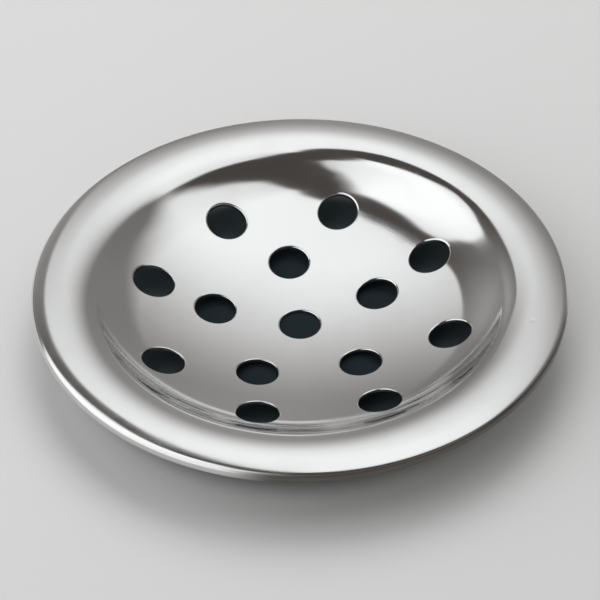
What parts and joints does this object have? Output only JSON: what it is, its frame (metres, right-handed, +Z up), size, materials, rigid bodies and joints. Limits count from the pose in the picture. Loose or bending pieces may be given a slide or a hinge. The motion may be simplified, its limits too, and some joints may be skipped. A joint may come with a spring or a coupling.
{
  "type": "drain grate",
  "caption": "Round dished drain grate of polished stainless sheet, with a broad convex rim and round holes that strain water into a floor outlet.",
  "frame": {"origin": "On the grate's axis, at the lowest point of the dish, where it stands on a surface.", "axes": "+Z up, out of the bowl, along the axis of the round rim. +Y points at the first hole of the inner ring. +X completes the frame, and the YZ plane is the plane of mirror symmetry."},
  "size_m": [0.127, 0.127, 0.0159],
  "materials": {
    "polished_steel": "polished stainless steel with fine wear"
  },
  "bodies": {
    "root": {"grate": "polished_steel"}
  },
  "joints": []
}
